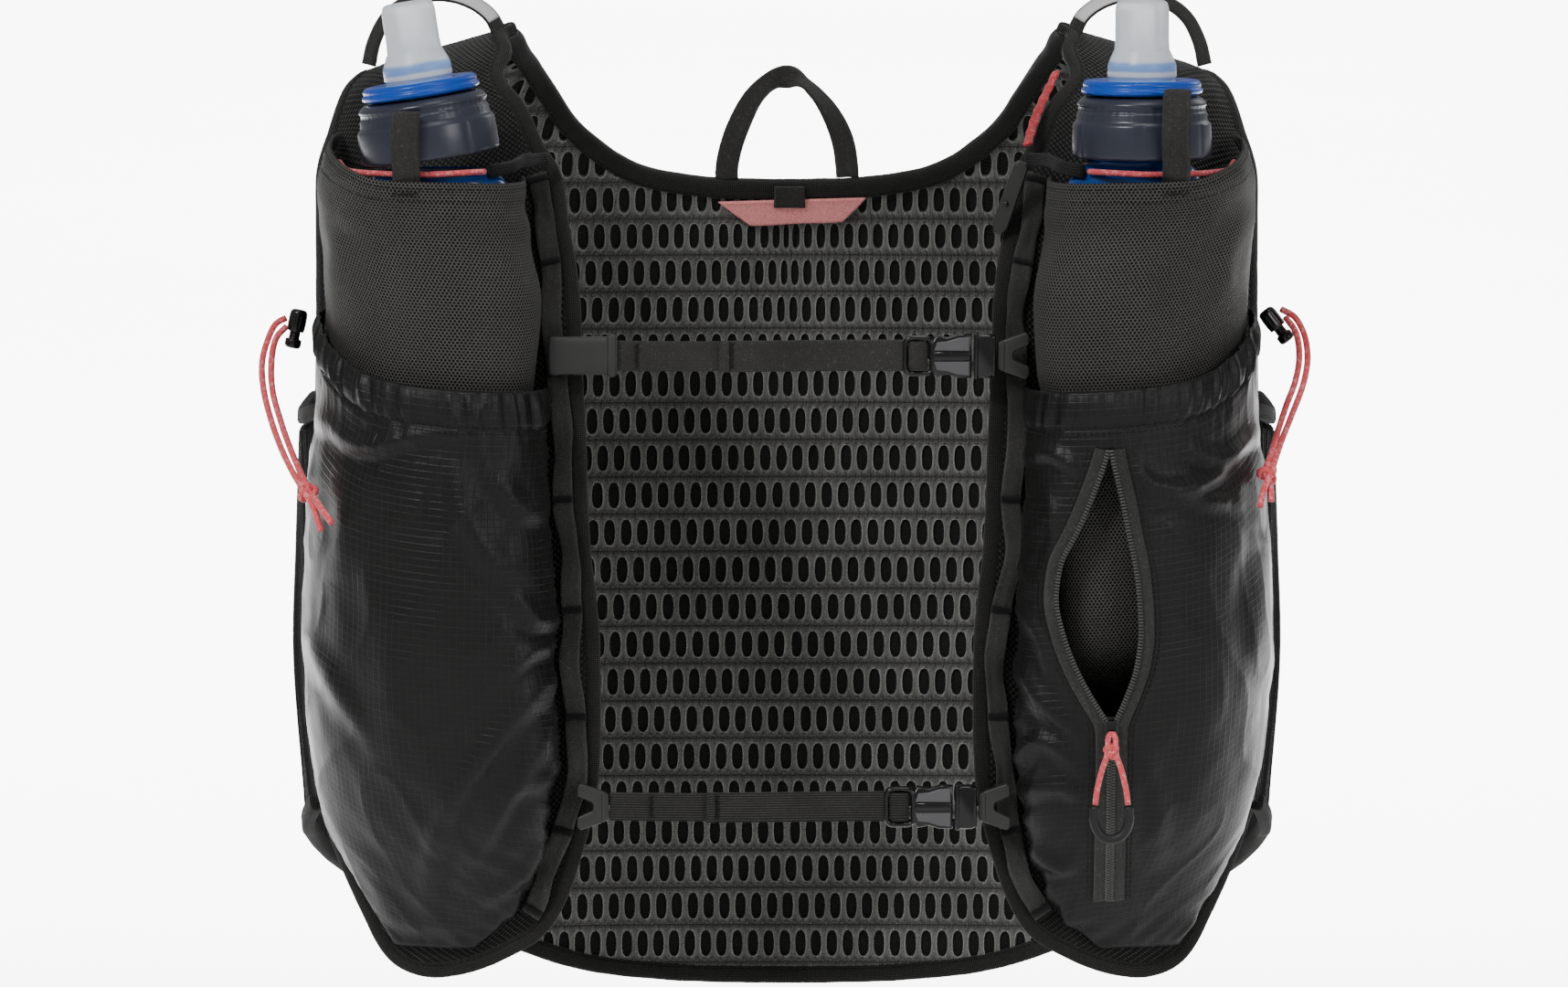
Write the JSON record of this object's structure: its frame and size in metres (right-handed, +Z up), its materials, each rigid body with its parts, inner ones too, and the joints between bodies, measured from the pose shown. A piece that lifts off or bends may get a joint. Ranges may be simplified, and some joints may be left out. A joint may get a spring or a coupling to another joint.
{
  "type": "running hydration vest with two soft flasks",
  "caption": "Worn-shape running vest of knitted mesh with bottle and stretch pockets on the chest, sternum straps, cord locks and soft flasks.",
  "frame": {"origin": "midway between the undersides of the two shoulder straps, where the wearer's shoulders carry the vest", "axes": "+Z up, -Y to the front of the vest, +X to the wearer's left"},
  "size_m": [0.3796, 0.2328, 0.3779],
  "materials": {
    "spacer_mesh": "knitted spacer mesh with oval holes",
    "side_knit": "ribbed stretch knit",
    "edge_binding": "soft knitted binding",
    "power_mesh": "stretch mesh with fine holes",
    "ripstop": "coated ripstop, slight gloss",
    "webbing": "woven webbing",
    "zip_tape": "zip tape with coil",
    "gloss_buckle": "moulded acetal, polished",
    "satin_hook": "moulded, satin",
    "rubber_trim": "soft moulded rubber",
    "elastic_cord": "braided elastic cord, flecked",
    "lanyard": "flat woven tape",
    "label": "woven label, bare",
    "flask_film": "soft translucent film",
    "flask_cap": "smoky translucent moulding",
    "lock_collar": "polished moulding",
    "bite_valve": "milky silicone"
  },
  "bodies": {
    "root": {"back_panel": "spacer_mesh", "front_panel_r": "spacer_mesh", "front_panel_l": "spacer_mesh", "side_panel_r": "side_knit", "side_panel_l": "side_knit", "neck_binding": "edge_binding", "back_hem_binding": "edge_binding", "front_binding_r": "edge_binding", "front_binding_l": "edge_binding", "armhole_binding_r": "edge_binding", "armhole_binding_l": "edge_binding", "flask_pocket_r": "power_mesh", "flask_pocket_l": "power_mesh", "lower_pocket_r": "ripstop", "lower_pocket_l": "ripstop", "upper_strap": "webbing", "lower_strap": "webbing", "hang_loop": "webbing", "daisy_chain_r": "webbing", "daisy_chain_l": "webbing", "cord_anchor_r": "webbing", "cord_anchor_l": "webbing", "pull_loop_r": "webbing", "pull_loop_l": "webbing", "shoulder_loop_r": "webbing", "shoulder_loop_l": "webbing", "zip_tape": "zip_tape", "upper_buckle_male": "gloss_buckle", "upper_buckle_female": "gloss_buckle", "lower_buckle_male": "gloss_buckle", "lower_buckle_female": "gloss_buckle", "zip_slider": "gloss_buckle", "cord_lock_r": "gloss_buckle", "cord_lock_l": "gloss_buckle", "upper_hook_l": "satin_hook", "lower_hook_l": "satin_hook", "lower_hook_r": "satin_hook", "strap_keeper": "rubber_trim", "whistle": "rubber_trim", "zip_grip": "rubber_trim", "zip_pull_cord": "elastic_cord", "drawcord_r": "elastic_cord", "drawcord_l": "elastic_cord", "flask_cord_r": "elastic_cord", "flask_cord_l": "elastic_cord", "whistle_lanyard": "lanyard", "collar_label": "label", "flask_body_r": "flask_film", "flask_body_l": "flask_film", "flask_cap_r": "flask_cap", "flask_cap_l": "flask_cap"},
    "lock_r": {"lock_collar_r": "lock_collar", "bite_valve_r": "bite_valve"},
    "lock_l": {"lock_collar_l": "lock_collar", "bite_valve_l": "bite_valve"},
    "button_r": {"cord_lock_button_r": "gloss_buckle"},
    "button_l": {"cord_lock_button_l": "gloss_buckle"}
  },
  "joints": [
    {"name": "flask_lock_turn_r", "type": "hinge", "parent": "root", "child": "lock_r", "pos_m": [-0.13051, -0.101, -0.0084], "axis": [-0.1513, 0, 0.9885], "range_deg": [0, 90]},
    {"name": "flask_lock_turn_l", "type": "hinge", "parent": "root", "child": "lock_l", "pos_m": [0.1265, -0.101, -0.0081], "axis": [0, 0, 1], "range_deg": [0, 90]},
    {"name": "cord_lock_press_r", "type": "slide", "parent": "root", "child": "button_r", "axis": [0.2079, 0, 0.9781], "range_m": [0, 0.0025], "stiffness_N_per_m": 300},
    {"name": "cord_lock_press_l", "type": "slide", "parent": "root", "child": "button_l", "axis": [-0.6157, 0, 0.788], "range_m": [0, 0.0025], "stiffness_N_per_m": 300}
  ]
}
